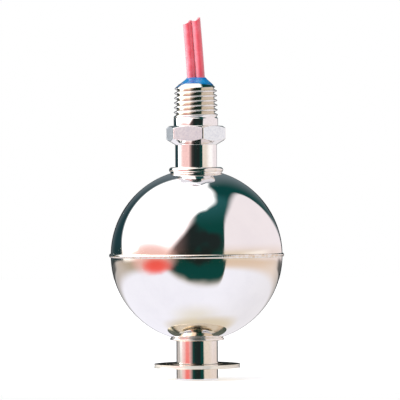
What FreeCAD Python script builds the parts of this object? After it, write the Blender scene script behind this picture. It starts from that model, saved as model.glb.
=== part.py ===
import FreeCAD, Part
import math
import os

import Sketcher
from FreeCAD import Placement, Rotation, Vector

# Float level switch for a tank: a stainless stem with a hexagon and a tapered pipe thread, a
# reed switch potted inside the stem, and a hollow spherical float with a ring magnet that
# slides on the stem between the hexagon and a retaining ring.
#
# Millimetres. The origin lies on the stem's axis in the upper face of the hexagon, +Z points
# along the thread towards the leads, and +X is to the right of someone who faces the switch.

SIZES = {
    # stem: one turned piece, as long as the float, its travel and the ring need
    "stem_diameter": 12.3,
    "stem_edge": 0.5,
    "hex_flats": 15.875,
    "hex_turn": 13.5,
    "hex_face": 15.6,
    "hex_corner_drop": 0.75,
    "hex_rim": 3.8,
    "hex_cone": 1.74,
    "thread_diameter": 13.1,
    "shank_length": 2.1,
    "thread_length": 10.3,
    "thread_taper": 16.0,
    "thread_chamfer": 1.4,
    "thread_pitch": 1.4111,
    "thread_depth": 1.0,
    "thread_gap": 0.98,
    "thread_start": 0.501,
    "bore_diameter": 8.4,
    "bore_floor": 8.0,
    "drill_point": 2.4,
    # retaining ring and its groove near the lower end
    "ring_diameter": 25.3,
    "ring_thickness": 1.1,
    "ring_relief": 1.55,
    "ring_snap": 0.6,
    "ring_prong": 40.0,
    "ring_tip": 5.0,
    "groove_depth": 1.35,
    "groove_play": 0.1,
    "end_stub": 3.6,
    # float: two drawn shells on a guide tube, with a collar at each pole; its way up ends at
    # the foot of the hexagon's cone and its way down at the retaining ring
    "float_diameter": 50.8,
    "float_rise": 6.66,
    "float_drop": 6.9,
    "shell_wall": 0.5,
    "guide_play": 0.45,
    "guide_wall": 0.4,
    "collar_neck": 0.2,
    "collar_ledge": 0.6,
    "collar_height": 1.7,
    "collar_round": 0.8,
    "lower_collar_height": 0.9,
    "lower_collar_round": 0.42,
    "collar_lip": 0.7,
    "collar_chamfer": 0.3,
    "spigot_wall": 0.4,
    "spigot_length": 1.1,
    "bead_width": 1.2,
    "bead_height": 0.5,
    # magnet on the guide tube, held by two push-on washers
    "magnet_wall": 3.95,
    "magnet_height": 8.0,
    "magnet_play": 0.05,
    "washer_reach": 1.4,
    "washer_rim": 1.2,
    "washer_sheet": 0.4,
    "washer_dish": 0.75,
    "washer_slot": 1.0,
    "washer_teeth": 8,
    # potting: an epoxy seal with a domed top above a softer fill
    "dome_top": 5.6,
    "dome_height": 1.75,
    "dome_radius": 6.8,
    "seal_depth": 8.0,
    # leads, splices and the wire that comes back from the lower end of the reed switch
    "lead_diameter": 2.65,
    "strand_diameter": 1.2,
    "strip_gap": 0.6,
    "splice_diameter": 2.2,
    "splice_length": 6.0,
    "splice_crimp": 1.2,
    "crimp_depth": 0.15,
    "wire_diameter": 0.8,
    "wire_loop": 4.0,
    # reed switch in its sleeve
    "switch_rise": 2.2,
    "glass_diameter": 2.8,
    "glass_length": 20.0,
    "glass_wall": 0.45,
    "glass_seal": 2.5,
    "glass_shoulder": 0.6,
    "sleeve_play": 0.05,
    "sleeve_wall": 0.65,
    "sleeve_overhang": 0.5,
    "reed_tail": 6.0,
    "blade_width": 1.5,
    "blade_thickness": 0.25,
    "blade_gap": 0.15,
    "blade_overlap": 1.6,
    "blade_root": 1.0,
}

# Routes of the two leads, from the stripped end inside the stem to the cut end in the open.
LEFT_ROUTE = [(-0.95, 0.0, -1.0), (-0.95, 0.0, 9.5), (-1.55, 0.08, 21.3), (-2.32, 0.25, 30.7)]
RIGHT_ROUTE = [(1.75, 0.0, -1.0), (1.75, 0.0, 9.5), (1.15, -0.08, 21.7), (0.38, -0.25, 31.6)]
CORD_BEND_SHARE = 0.45

doc = FreeCAD.newDocument("float_level_switch")
sheet = doc.addObject("Spreadsheet::Sheet", "Sizes")
subparts = []


# ---------------------------------------------------------------- sizes


class Size:
    """A length or angle that carries its number and the sheet expression that gives it."""

    def __init__(self, number, text):
        self.number = number
        self.text = text

    def _with(self, other, sign, number):
        return Size(number, f"({self.text} {sign} {size(other).text})")

    def __add__(self, other):
        return self._with(other, "+", self.number + size(other).number)

    def __sub__(self, other):
        return self._with(other, "-", self.number - size(other).number)

    def __mul__(self, other):
        return self._with(other, "*", self.number * size(other).number)

    def __truediv__(self, other):
        return self._with(other, "/", self.number / size(other).number)

    def __neg__(self):
        return Size(-self.number, f"(0 - {self.text})")


def size(value):
    """A Size as it is, or a plain number turned into one."""
    return value if isinstance(value, Size) else Size(float(value), str(value))


def root(value):
    """Square root of a Size."""
    return Size(math.sqrt(value.number), f"sqrt({value.text})")


def cosine(degrees):
    """Cosine of an angle in degrees."""
    return Size(math.cos(math.radians(degrees.number)), f"cos({degrees.text} * 1 deg)")


def sine(degrees):
    """Sine of an angle in degrees."""
    return Size(math.sin(math.radians(degrees.number)), f"sin({degrees.text} * 1 deg)")


def sphere_level(radius, sphere_r):
    """Height above its centre at which a sphere has the given radius."""
    return root(sphere_r * sphere_r - radius * radius)


def fill_sheet():
    """Write every driving dimension into the sheet and return them as Size values."""
    for row, (name, number) in enumerate(SIZES.items(), start=1):
        sheet.set(f"A{row}", name)
        sheet.set(f"B{row}", str(number))
        sheet.setAlias(f"B{row}", name)
    doc.recompute()
    return {name: Size(float(sheet.get(name)), f"Sizes.{name}") for name in SIZES}


S = fill_sheet()
ZERO = size(0)

# Radii and levels that several pieces share.
STEM_R = S["stem_diameter"] / 2
BORE_R = S["bore_diameter"] / 2
GROOVE_R = STEM_R - S["groove_depth"]
HEX_CORNER_R = S["hex_flats"] / root(size(3))
THREAD_END = S["shank_length"] + S["thread_length"]
THREAD_R = S["thread_diameter"] / 2
CHAMFER_START = THREAD_END - S["thread_chamfer"]
CREST_R = THREAD_R - (CHAMFER_START - S["shank_length"]) / (S["thread_taper"] * 2)
RIM_R = CREST_R - S["thread_chamfer"]
GUIDE_BORE_R = STEM_R + S["guide_play"]
GUIDE_R = GUIDE_BORE_R + S["guide_wall"]
SPIGOT_R = GUIDE_R + S["spigot_wall"]
FLOAT_R = S["float_diameter"] / 2
POLE_LEVEL = sphere_level(SPIGOT_R, FLOAT_R)
FLOAT_TOP = POLE_LEVEL + S["collar_height"]
FLOAT_FOOT = POLE_LEVEL + S["lower_collar_height"]
CONE_FOOT = -(S["hex_rim"] + S["hex_cone"])
FLOAT_LEVEL = CONE_FOOT - S["float_rise"] - FLOAT_TOP
RING_TOP = FLOAT_LEVEL - FLOAT_FOOT - S["float_drop"]
RING_BOTTOM = RING_TOP - S["ring_thickness"]
STEM_END = RING_BOTTOM - S["end_stub"]
BORE_END = STEM_END + S["bore_floor"]
SEAL_BOTTOM = THREAD_END - S["seal_depth"]
STRIP_LEVEL = size(LEFT_ROUTE[0][2])
SPLICE_TOP = STRIP_LEVEL - S["strip_gap"]
SPLICE_MIDDLE = SPLICE_TOP - S["splice_length"] / 2
STRAND_R = S["strand_diameter"] / 2
WIRE_R = S["wire_diameter"] / 2
GLASS_R = S["glass_diameter"] / 2
GLASS_HALF = S["glass_length"] / 2
SLEEVE_BORE_R = GLASS_R + S["sleeve_play"]
SLEEVE_R = SLEEVE_BORE_R + S["sleeve_wall"]
SLEEVE_LENGTH = S["glass_length"] + S["sleeve_overhang"] * 2
SWITCH_LEVEL = FLOAT_LEVEL + S["switch_rise"]
TAIL_LEVEL = SWITCH_LEVEL - GLASS_HALF - S["reed_tail"]
LEFT_X = size(LEFT_ROUTE[0][0])
RIGHT_X = size(RIGHT_ROUTE[0][0])


# ---------------------------------------------------------------- helpers


def new_body(label, x=ZERO, z=ZERO, turned=False):
    """A PartDesign body placed at (x, 0, z), upside down when turned is true."""
    body = doc.addObject("PartDesign::Body", label)
    body.Label = label
    flip = Rotation(Vector(1, 0, 0), 180 if turned else 0)
    body.Placement = Placement(Vector(x.number, 0, z.number), flip)
    body.setExpression("Placement.Base.x", x.text)
    body.setExpression("Placement.Base.z", z.text)
    return body


def origin_feature(body, role):
    """One of the body's own origin planes or axes."""
    return next(f for f in body.Origin.OriginFeatures if f.Role == role)


def new_sketch(body, name, role="XZ_Plane"):
    """An empty sketch on one of the body's origin planes."""
    sketch = body.newObject("Sketcher::SketchObject", f"{body.Name}_{name}")
    sketch.AttachmentSupport = [(origin_feature(body, role), "")]
    sketch.MapMode = "FlatFace"
    return sketch


def hold(sketch, geometry, vertex, x, y):
    """Hold a vertex at (x, y) in the sketch, each distance bound to the sheet."""
    for kind, value, axis in (("DistanceX", x, -2), ("DistanceY", y, -1)):
        if value is ZERO:
            sketch.addConstraint(Sketcher.Constraint("PointOnObject", geometry, vertex, axis))
            continue
        rule = Sketcher.Constraint(kind, -1, 1, geometry, vertex, value.number)
        index = sketch.addConstraint(rule)
        sketch.setExpression(f"Constraints[{index}]", value.text)


def arc_between(start, end, radius):
    """Minor arc from start to end; it bulges to the right of the way for a radius above 0."""
    chord = end - start
    side = Vector(chord.y, -chord.x, 0).normalize()
    depth = math.sqrt(radius**2 - (chord.Length / 2) ** 2)
    offset = abs(radius) - depth
    middle = (start + end) / 2 + side * math.copysign(offset, radius)
    return Part.Arc(start, middle, end)


def outline(sketch, corners):
    """Closed outline through corners (x, y) or (x, y, radius of the arc that ends there)."""
    points = [Vector(corner[0].number, corner[1].number, 0) for corner in corners]
    count = len(corners)
    for index, corner in enumerate(corners):
        start, end = points[index - 1], points[index]
        if len(corner) == 3:
            sketch.addGeometry(arc_between(start, end, corner[2].number))
            radius = Sketcher.Constraint("Radius", index, abs(corner[2].number))
            rule = sketch.addConstraint(radius)
            sketch.setExpression(f"Constraints[{rule}]", f"abs({corner[2].text})")
        else:
            sketch.addGeometry(Part.LineSegment(start, end))
    ends = [_end_vertex(sketch, index, points[index]) for index in range(count)]
    for index, corner in enumerate(corners):
        following = (index + 1) % count
        join = Sketcher.Constraint("Coincident", index, ends[index], following, 3 - ends[following])
        sketch.addConstraint(join)
        hold(sketch, index, ends[index], corner[0], corner[1])


def _end_vertex(sketch, index, point):
    """Number of the vertex, 1 or 2, at which a line or arc of the sketch reaches point."""
    return min((1, 2), key=lambda vertex: (sketch.getPoint(index, vertex) - point).Length)


def circle(sketch, radius, x=ZERO, y=ZERO):
    """Circle whose radius and centre are bound to the sheet."""
    index = sketch.addGeometry(Part.Circle(Vector(x.number, y.number, 0), Vector(0, 0, 1), radius.number))
    rule = sketch.addConstraint(Sketcher.Constraint("Radius", index, radius.number))
    sketch.setExpression(f"Constraints[{rule}]", radius.text)
    hold(sketch, index, 3, x, y)


def box_corners(left, right, bottom, top):
    """Corners of an upright rectangle."""
    return [(left, bottom), (right, bottom), (right, top), (left, top)]


def revolve(body, name, corners):
    """Body of revolution from a half section of (radius, level) corners."""
    sketch = new_sketch(body, f"{name}_section")
    outline(sketch, corners)
    feature = body.newObject("PartDesign::Revolution", f"{body.Name}_{name}")
    feature.Profile = sketch
    feature.ReferenceAxis = (sketch, ["V_Axis"])
    feature.Angle = 360
    sketch.Visibility = False
    return feature


def groove(body, name, corners):
    """Turned cut from a half section of (radius, level) corners, checked to remove material."""
    doc.recompute()
    before = body.Shape.Volume
    sketch = new_sketch(body, f"{name}_section")
    outline(sketch, corners)
    feature = body.newObject("PartDesign::Groove", f"{body.Name}_{name}")
    feature.Profile = sketch
    feature.ReferenceAxis = (sketch, ["V_Axis"])
    feature.Angle = 360
    check_cut(body, before, feature)
    return feature


def check_cut(body, before, feature):
    """Stop if a cut has removed nothing from the body."""
    doc.recompute()
    if body.Shape.Volume >= before:
        raise RuntimeError(f"{feature.Name} cuts nothing")


def pad(body, sketch, length, reverse=False):
    """Extrusion of a sketch."""
    feature = body.newObject("PartDesign::Pad", f"{sketch.Name}_pad")
    feature.Profile = sketch
    feature.Length = length.number
    feature.setExpression("Length", length.text)
    feature.Reversed = reverse
    return feature


def pocket(body, sketch, length, reverse=False):
    """Cut of a sketch to a depth, checked to remove material."""
    doc.recompute()
    before = body.Shape.Volume
    feature = body.newObject("PartDesign::Pocket", f"{sketch.Name}_pocket")
    feature.Profile = sketch
    feature.Length = length.number
    feature.setExpression("Length", length.text)
    feature.Reversed = reverse
    check_cut(body, before, feature)
    return feature


def around(body, feature, count):
    """Copies of a feature, evenly spaced about the body's Z axis."""
    pattern = body.newObject("PartDesign::PolarPattern", f"{feature.Name}_around")
    pattern.Originals = [feature]
    pattern.Axis = (origin_feature(body, "Z_Axis"), [""])
    pattern.Angle = 360
    pattern.Occurrences = int(count.number)
    pattern.setExpression("Occurrences", count.text)
    body.Tip = pattern
    return pattern


def finish(item):
    """Count an object among the sub-parts to be written."""
    subparts.append(item)
    return item


# ---------------------------------------------------------------- stem


def thread(body):
    """Right-hand V groove, cut along a helix into the tapered blank from just above the shank."""
    doc.recompute()
    before = body.Shape.Volume
    sketch = new_sketch(body, "thread_section")
    level = S["shank_length"] + S["thread_start"]
    margin = S["thread_depth"] * 0.15
    half = S["thread_gap"] / 2 * 1.15
    outer_r = THREAD_R + margin
    outline(
        sketch,
        [
            (THREAD_R - S["thread_depth"], level),
            (outer_r, level - half),
            (outer_r, level + half),
        ],
    )
    feature = body.newObject("PartDesign::SubtractiveHelix", f"{body.Name}_thread")
    feature.Profile = sketch
    feature.ReferenceAxis = (sketch, ["V_Axis"])
    feature.Mode = "pitch-height-angle"
    feature.Pitch = S["thread_pitch"].number
    feature.setExpression("Pitch", S["thread_pitch"].text)
    height = S["thread_length"] + S["thread_pitch"] / 2
    feature.Height = height.number
    feature.setExpression("Height", height.text)
    feature.Angle = 0
    check_cut(body, before, feature)


def stem_body():
    """Stem, hexagon, shank and taper thread, turned from one bar and drilled from the top."""
    body = new_body("stem_body")
    groove_top = RING_TOP + S["groove_play"]
    revolve(
        body,
        "turned",
        [
            (ZERO, STEM_END),
            (STEM_R - S["stem_edge"], STEM_END),
            (STEM_R, STEM_END + S["stem_edge"], S["stem_edge"]),
            (STEM_R, RING_BOTTOM),
            (GROOVE_R, RING_BOTTOM),
            (GROOVE_R, groove_top),
            (STEM_R, groove_top),
            (STEM_R, CONE_FOOT),
            (HEX_CORNER_R, -S["hex_rim"]),
            (HEX_CORNER_R, -S["hex_corner_drop"]),
            (S["hex_face"] / 2, ZERO),
            (THREAD_R, ZERO),
            (THREAD_R, S["shank_length"]),
            (CREST_R, CHAMFER_START),
            (RIM_R, THREAD_END),
            (ZERO, THREAD_END),
        ],
    )
    flat = new_sketch(body, "flat", "XY_Plane")
    flat.AttachmentOffset = Placement(Vector(), Rotation(Vector(0, 0, 1), S["hex_turn"].number))
    flat.setExpression("AttachmentOffset.Rotation.Angle", S["hex_turn"].text)
    outer = HEX_CORNER_R + 1
    outline(flat, box_corners(S["hex_flats"] / 2, outer, -outer, outer))
    milled = pocket(body, flat, -CONE_FOOT)
    around(body, milled, size(6))
    thread(body)
    groove(
        body,
        "bore",
        [
            (ZERO, BORE_END - S["drill_point"]),
            (BORE_R, BORE_END),
            (BORE_R, THREAD_END),
            (ZERO, THREAD_END),
        ],
    )
    return finish(body)


def retaining_ring():
    """E-shaped retaining ring, pushed into the stem's groove from the front."""
    body = new_body("retaining_ring", z=RING_BOTTOM)
    disc = new_sketch(body, "disc", "XY_Plane")
    circle(disc, S["ring_diameter"] / 2)
    circle(disc, GROOVE_R)
    pad(body, disc, S["ring_thickness"])
    mouth = new_sketch(body, "mouth", "XY_Plane")
    half = GROOVE_R - S["ring_snap"] / 2
    outline(mouth, box_corners(-half, half, ZERO, S["ring_diameter"]))
    pocket(body, mouth, S["ring_thickness"], reverse=True)
    relief = new_sketch(body, "relief", "XY_Plane")
    first = -S["ring_tip"]
    last = S["ring_prong"] / 2 - 90
    far = STEM_R + S["ring_relief"]
    outline(
        relief,
        [
            (GROOVE_R * cosine(first), GROOVE_R * sine(first)),
            (GROOVE_R * cosine(last), GROOVE_R * sine(last)),
            (far * cosine(last), far * sine(last)),
            (far * cosine(first), far * sine(first), far),
        ],
    )
    right = pocket(body, relief, S["ring_thickness"], reverse=True)
    mirror = body.newObject("PartDesign::Mirrored", "retaining_ring_left_relief")
    mirror.Originals = [right]
    mirror.MirrorPlane = (origin_feature(body, "YZ_Plane"), [""])
    body.Tip = mirror
    return finish(body)


# ---------------------------------------------------------------- float


def float_shell(label, turned):
    """Half of the float, deep drawn from sheet, with a hole for the collar at its pole."""
    body = new_body(label, z=FLOAT_LEVEL, turned=turned)
    inner_r = FLOAT_R - S["shell_wall"]
    revolve(
        body,
        "drawn",
        [
            (FLOAT_R, ZERO),
            (SPIGOT_R, POLE_LEVEL, FLOAT_R),
            (SPIGOT_R, sphere_level(SPIGOT_R, inner_r)),
            (inner_r, ZERO, -inner_r),
        ],
    )
    return finish(body)


def float_guide_tube():
    """Tube through the float that runs on the stem."""
    body = new_body("float_guide_tube", z=FLOAT_LEVEL)
    top = FLOAT_TOP - S["collar_lip"]
    foot = FLOAT_FOOT - S["collar_lip"]
    revolve(body, "tube", box_corners(GUIDE_BORE_R, GUIDE_R, -foot, top))
    return finish(body)


def float_seam_bead():
    """Weld bead that joins the two shells round the equator."""
    body = new_body("float_seam_bead", z=FLOAT_LEVEL)
    half = S["bead_width"] / 2
    edge_r = sphere_level(half, FLOAT_R)
    rise = FLOAT_R + S["bead_height"] - edge_r
    bead_r = (half * half + rise * rise) / (rise * 2)
    revolve(body, "bead", [(edge_r, -half, -FLOAT_R), (edge_r, half, bead_r)])
    return finish(body)


def collar(label, face, rim, turned):
    """Turned collar: its spigot passes through the shell and takes the guide tube's end."""
    body = new_body(label, z=FLOAT_LEVEL, turned=turned)
    neck_r = SPIGOT_R + S["collar_neck"]
    middle_r = SPIGOT_R + S["collar_ledge"] - rim
    overhang = neck_r - middle_r
    neck_end = face - rim - root(rim * rim - overhang * overhang)
    tube_end = face - S["collar_lip"]
    spigot_end = POLE_LEVEL - S["spigot_length"]
    revolve(
        body,
        "turned",
        [
            (GUIDE_BORE_R, tube_end),
            (GUIDE_R, tube_end),
            (GUIDE_R, spigot_end),
            (SPIGOT_R, spigot_end),
            (SPIGOT_R, POLE_LEVEL),
            (neck_r, sphere_level(neck_r, FLOAT_R), -FLOAT_R),
            (neck_r, neck_end),
            (middle_r, face, rim),
            (GUIDE_BORE_R + S["collar_chamfer"], face),
            (GUIDE_BORE_R, face - S["collar_chamfer"]),
        ],
    )
    return finish(body)


def float_magnet():
    """Ring magnet at the middle of the guide tube."""
    body = new_body("float_magnet", z=FLOAT_LEVEL)
    half = S["magnet_height"] / 2
    inner_r = GUIDE_R + S["magnet_play"]
    revolve(body, "ring", box_corners(inner_r, inner_r + S["magnet_wall"], -half, half))
    return finish(body)


def magnet_washer(label, turned):
    """Push-on washer: a flat rim on the magnet and dished teeth that grip the guide tube."""
    half_magnet = S["magnet_height"] / 2
    level = FLOAT_LEVEL - half_magnet if turned else FLOAT_LEVEL + half_magnet
    body = new_body(label, z=level, turned=turned)
    flat_r = GUIDE_R + S["washer_reach"]
    rim_r = flat_r + S["washer_rim"]
    sheet_top = S["washer_sheet"]
    revolve(
        body,
        "dished",
        [
            (flat_r, ZERO),
            (rim_r, ZERO),
            (rim_r, sheet_top),
            (flat_r, sheet_top),
            (GUIDE_R, sheet_top + S["washer_dish"]),
            (GUIDE_R, S["washer_dish"]),
        ],
    )
    slot = new_sketch(body, "slot", "XY_Plane")
    half = S["washer_slot"] / 2
    outline(slot, box_corners(ZERO, flat_r, -half, half))
    cut = pocket(body, slot, sheet_top + S["washer_dish"], reverse=True)
    around(body, cut, S["washer_teeth"])
    return finish(body)


# ---------------------------------------------------------------- reed switch


def reed(label, turned):
    """Round lead that is flattened into a springy blade inside the glass."""
    body = new_body(label, x=LEFT_X, z=SWITCH_LEVEL, turned=turned)
    root_level = GLASS_HALF - S["glass_seal"] - S["glass_shoulder"] - S["blade_root"]
    lead_end = SWITCH_LEVEL - TAIL_LEVEL if turned else SPLICE_MIDDLE - SWITCH_LEVEL
    revolve(
        body,
        "lead",
        box_corners(ZERO, WIRE_R, root_level - S["blade_root"], lead_end),
    )
    blade = new_sketch(body, "blade")
    face = S["blade_gap"] / 2
    blade.AttachmentOffset = Placement(Vector(0, 0, -face.number), Rotation())
    blade.setExpression("AttachmentOffset.Base.z", (-face).text)
    half = S["blade_width"] / 2
    tip = -(S["blade_overlap"] / 2)
    shoulder = root_level - S["blade_root"]
    outline(
        blade,
        [
            (-half, tip),
            (half, tip),
            (half, shoulder),
            (WIRE_R, root_level),
            (-WIRE_R, root_level),
            (-half, shoulder),
        ],
    )
    pad(body, blade, S["blade_thickness"], reverse=True)
    return finish(body)


def reed_glass():
    """Glass capsule, sealed round the two reeds at its ends."""
    body = new_body("reed_glass", x=LEFT_X, z=SWITCH_LEVEL)
    cavity_r = GLASS_R - S["glass_wall"]
    seal = GLASS_HALF - S["glass_seal"]
    shoulder = S["glass_shoulder"]
    revolve(
        body,
        "capsule",
        [
            (WIRE_R, -GLASS_HALF),
            (GLASS_R - shoulder, -GLASS_HALF),
            (GLASS_R, shoulder - GLASS_HALF, shoulder),
            (GLASS_R, GLASS_HALF - shoulder),
            (GLASS_R - shoulder, GLASS_HALF, shoulder),
            (WIRE_R, GLASS_HALF),
            (WIRE_R, seal),
            (cavity_r, seal - shoulder),
            (cavity_r, shoulder - seal),
            (WIRE_R, -seal),
        ],
    )
    return finish(body)


def reed_sleeve():
    """Plastic sleeve that keeps the potting's pressure off the glass."""
    body = new_body("reed_sleeve", x=LEFT_X, z=SWITCH_LEVEL)
    half = SLEEVE_LENGTH / 2
    revolve(body, "tube", box_corners(SLEEVE_BORE_R, SLEEVE_R, -half, half))
    return finish(body)


def splice(label, x, middle, takes_strands):
    """Crimp barrel in which the upper conductor and the lower wire meet at the middle."""
    body = new_body(label, x=x, z=middle)
    barrel_r = S["splice_diameter"] / 2
    crimp_r = barrel_r - S["crimp_depth"]
    half = S["splice_length"] / 2
    near, far = S["splice_crimp"], S["splice_crimp"] * 2
    upper_crimp = [(barrel_r, near), (crimp_r, near), (crimp_r, far), (barrel_r, far)]
    lower_crimp = [(radius, -level) for radius, level in reversed(upper_crimp)]
    revolve(
        body,
        "barrel",
        [
            (WIRE_R, -half),
            (barrel_r, -half),
            *lower_crimp,
            *upper_crimp,
            (barrel_r, half),
            (WIRE_R, half),
        ],
    )
    if takes_strands:
        groove(body, "strand_bore", box_corners(ZERO, STRAND_R, ZERO, half))
    return finish(body)


# ---------------------------------------------------------------- leads and wire


def rounded_path(points, bends=None):
    """Straight runs joined by tangent arcs, of set radii or as large as the runs allow."""
    vectors = [Vector(*point) for point in points]
    edges, start, radii = [], vectors[0], []
    corners = zip(vectors, vectors[1:], vectors[2:])
    for index, (before, corner, after) in enumerate(corners):
        back, ahead = before - corner, after - corner
        shorter = min(back.Length, ahead.Length)
        half_turn = (math.pi - back.getAngle(ahead)) / 2
        bend = bends[index] if bends else CORD_BEND_SHARE * shorter / math.tan(half_turn)
        reach = bend * math.tan(half_turn)
        back.normalize()
        ahead.normalize()
        arc_start, arc_end = corner + back * reach, corner + ahead * reach
        inward = (back + ahead).normalize()
        middle = corner + inward * (bend / math.cos(half_turn) - bend)
        if (arc_start - start).Length > 0.001:
            edges.append(Part.LineSegment(start, arc_start).toShape())
        edges.append(Part.Arc(arc_start, middle, arc_end).toShape())
        start = arc_end
        radii.append(bend)
    edges.append(Part.LineSegment(start, vectors[-1]).toShape())
    return Part.Wire(edges), radii


def tube(path, radius, bore=0.0):
    """Solid of round section along a path, hollow when it has a bore radius."""
    start = path.Vertexes[0].Point
    way = path.OrderedEdges[0].tangentAt(path.OrderedEdges[0].FirstParameter)
    sections = []
    for section_r in (radius, bore):
        if section_r:
            ring = Part.Wire([Part.makeCircle(section_r, start, way)])
            sections.append(path.makePipeShell([ring], True, False))
    return sections[0].cut(sections[1]) if bore else sections[0]


def add_feature(label, shape):
    """Sub-part whose shape is made by Part's own functions."""
    item = doc.addObject("Part::Feature", label)
    item.Label = label
    item.Shape = shape
    item.Placement = Placement()
    return finish(item)


def lead(side, route):
    """One lead: its insulation, and its conductor stripped for the splice below it."""
    jacket_r = sheet.get("lead_diameter") / 2
    strand_r = sheet.get("strand_diameter") / 2
    path, radii = rounded_path(route)
    jacket = tube(path, jacket_r, strand_r)
    expected = math.pi * (jacket_r**2 - strand_r**2) * path.Length
    bends = ", ".join(f"{bend:.0f}" for bend in radii)
    print(f"{side} lead: length {path.Length:.2f}, bend radii {bends}")
    print(f"{side} lead: volume {jacket.Volume:.2f}, section times length {expected:.2f}")
    stripped = (route[0][0], route[0][1], SPLICE_MIDDLE.number)
    strands, _ = rounded_path([stripped] + route[1:], radii)
    return add_feature(f"{side}_lead_jacket", jacket), add_feature(
        f"{side}_lead_strands", tube(strands, strand_r)
    )


def return_wire():
    """Wire from the right lead's splice down past the switch and back up to its lower end."""
    bottom = TAIL_LEVEL.number - sheet.get("splice_length") / 2 - sheet.get("wire_loop")
    loop_r = (RIGHT_X.number - LEFT_X.number) / 2
    corners = [
        (RIGHT_X.number, 0, SPLICE_MIDDLE.number),
        (RIGHT_X.number, 0, bottom),
        (LEFT_X.number, 0, bottom),
        (LEFT_X.number, 0, TAIL_LEVEL.number),
    ]
    path, _ = rounded_path(corners, [loop_r, loop_r])
    return add_feature("return_wire", tube(path, WIRE_R.number))


def potting(wiring):
    """Domed epoxy seal and the fill below it, both cast round the wiring."""
    blank = new_body("seal_blank")
    top_r = S["dome_top"] / 2
    dome_top = THREAD_END + S["dome_height"]
    revolve(
        blank,
        "cast",
        [
            (ZERO, SEAL_BOTTOM),
            (BORE_R, SEAL_BOTTOM),
            (BORE_R, THREAD_END),
            (RIM_R, THREAD_END),
            (top_r, dome_top, S["dome_radius"]),
            (ZERO, dome_top),
        ],
    )
    fill = new_body("fill_blank")
    revolve(
        fill,
        "cast",
        [
            (ZERO, BORE_END - S["drill_point"]),
            (BORE_R, BORE_END),
            (BORE_R, SEAL_BOTTOM),
            (ZERO, SEAL_BOTTOM),
        ],
    )
    for label, base in (("potting_seal", blank), ("potting_fill", fill)):
        cut = doc.addObject("Part::Cut", label)
        cut.Label = label
        cut.Base = base
        cut.Tool = wiring
        finish(cut)


def wiring_tool(pieces):
    """Everything that the potting is cast round, as one solid."""
    space = doc.addObject("Part::Cylinder", "sleeve_space")
    bottom = SWITCH_LEVEL - SLEEVE_LENGTH / 2
    space.Placement = Placement(Vector(LEFT_X.number, 0, bottom.number), Rotation())
    for target, value in (
        ("Radius", SLEEVE_R),
        ("Height", SLEEVE_LENGTH),
        ("Placement.Base.x", LEFT_X),
        ("Placement.Base.z", bottom),
    ):
        space.setExpression(target, value.text)
    fused = doc.addObject("Part::MultiFuse", "wiring")
    fused.Shapes = pieces + [space]
    return fused


# ---------------------------------------------------------------- document


def check_document():
    """Stop if an object failed or a sub-part is not one valid solid."""
    for item in doc.Objects:
        bad = {"Invalid", "Error"} & set(item.State)
        if bad:
            raise RuntimeError(f"{item.Name}: {', '.join(bad)}")
    for item in subparts:
        shape = item.Shape
        if shape.isNull() or not shape.isValid() or len(shape.Solids) != 1:
            raise RuntimeError(f"{item.Label}: not one valid solid")


def write_steps():
    """Write each sub-part's shape to its own file."""
    os.makedirs("parts", exist_ok=True)
    for item in subparts:
        item.Shape.exportStep(f"parts/{item.Label}.step")


stem_body()
retaining_ring()
float_shell("float_upper_shell", turned=False)
float_shell("float_lower_shell", turned=True)
float_guide_tube()
float_seam_bead()
collar("upper_collar", FLOAT_TOP, S["collar_round"], turned=False)
collar("lower_collar", FLOAT_FOOT, S["lower_collar_round"], turned=True)
float_magnet()
magnet_washer("upper_magnet_washer", turned=False)
magnet_washer("lower_magnet_washer", turned=True)
reed_glass()
reed_sleeve()
left_lead = lead("left", LEFT_ROUTE)
right_lead = lead("right", RIGHT_ROUTE)
wired = [
    *left_lead,
    *right_lead,
    reed("upper_reed", turned=False),
    reed("lower_reed", turned=True),
    splice("upper_splice", LEFT_X, SPLICE_MIDDLE, takes_strands=True),
    splice("return_splice", RIGHT_X, SPLICE_MIDDLE, takes_strands=True),
    splice("lower_splice", LEFT_X, TAIL_LEVEL, takes_strands=False),
    return_wire(),
]
potting(wiring_tool(wired))
doc.recompute()
check_document()
write_steps()
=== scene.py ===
from math import acos, asin, atan, ceil, cos, degrees, exp, pi, radians, sin, sqrt, tan

import bmesh
import bpy
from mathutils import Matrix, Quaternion, Vector


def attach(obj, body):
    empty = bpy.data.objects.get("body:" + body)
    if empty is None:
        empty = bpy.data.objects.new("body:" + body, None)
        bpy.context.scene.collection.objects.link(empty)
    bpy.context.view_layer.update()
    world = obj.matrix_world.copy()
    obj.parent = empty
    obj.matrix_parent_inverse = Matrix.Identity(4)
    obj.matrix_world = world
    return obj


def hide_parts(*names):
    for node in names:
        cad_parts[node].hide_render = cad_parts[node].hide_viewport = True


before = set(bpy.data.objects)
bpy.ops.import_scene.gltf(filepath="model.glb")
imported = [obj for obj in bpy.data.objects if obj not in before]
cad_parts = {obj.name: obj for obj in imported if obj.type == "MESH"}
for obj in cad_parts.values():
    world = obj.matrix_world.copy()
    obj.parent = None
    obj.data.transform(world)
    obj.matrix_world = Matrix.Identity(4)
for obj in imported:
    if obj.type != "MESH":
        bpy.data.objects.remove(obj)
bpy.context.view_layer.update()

# ---------------------------------------------------------------- camera
# A long lens one metre in front of the switch, just above the float's upper collar and nearly
# level, held a third of a degree out of plumb.
mm = 0.001
eye = Vector((1.1, -1040, -18.2)) * mm
aim = Vector((1.1, 0, -21.9)) * mm
camera = bpy.data.objects.new("camera", bpy.data.cameras.new("camera"))
camera.data.sensor_width = 36
camera.data.lens = 316.5
camera.location = eye
camera.rotation_mode = "QUATERNION"
roll = Quaternion((0, 0, 1), radians(-0.33))
camera.rotation_quaternion = (aim - eye).to_track_quat("-Z", "Y") @ roll
bpy.context.collection.objects.link(camera)
bpy.context.scene.camera = camera
bpy.context.scene.view_settings.view_transform = "Standard"

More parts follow.
